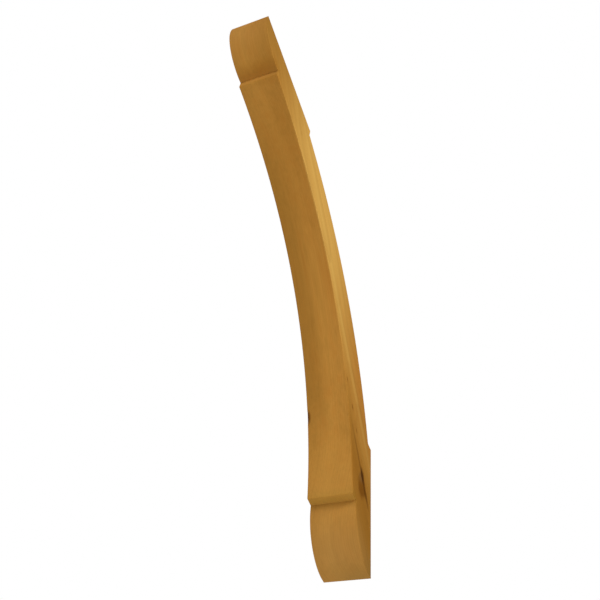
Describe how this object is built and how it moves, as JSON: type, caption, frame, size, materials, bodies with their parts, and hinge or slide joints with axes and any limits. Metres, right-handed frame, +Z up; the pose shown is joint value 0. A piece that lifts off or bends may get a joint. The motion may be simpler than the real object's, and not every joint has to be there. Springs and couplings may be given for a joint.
{
  "type": "timber knee brace",
  "caption": "Arched timber knee brace with rounded noses, ledge shoulders and stepped heels, sawn from one plank to stiffen the corner of a post and a beam.",
  "frame": {"origin": "middle of the plumb seat that bears on the post", "axes": "+X across the plank's thickness, +Y into the post, +Z up to the beam"},
  "size_m": [0.0888, 0.8128, 0.8128],
  "materials": {
    "timber": "planed straight-grained softwood, clear satin finish, honey brown with soft streaks and a few small knots"
  },
  "bodies": {
    "root": {"knee_brace": "timber"}
  },
  "joints": []
}
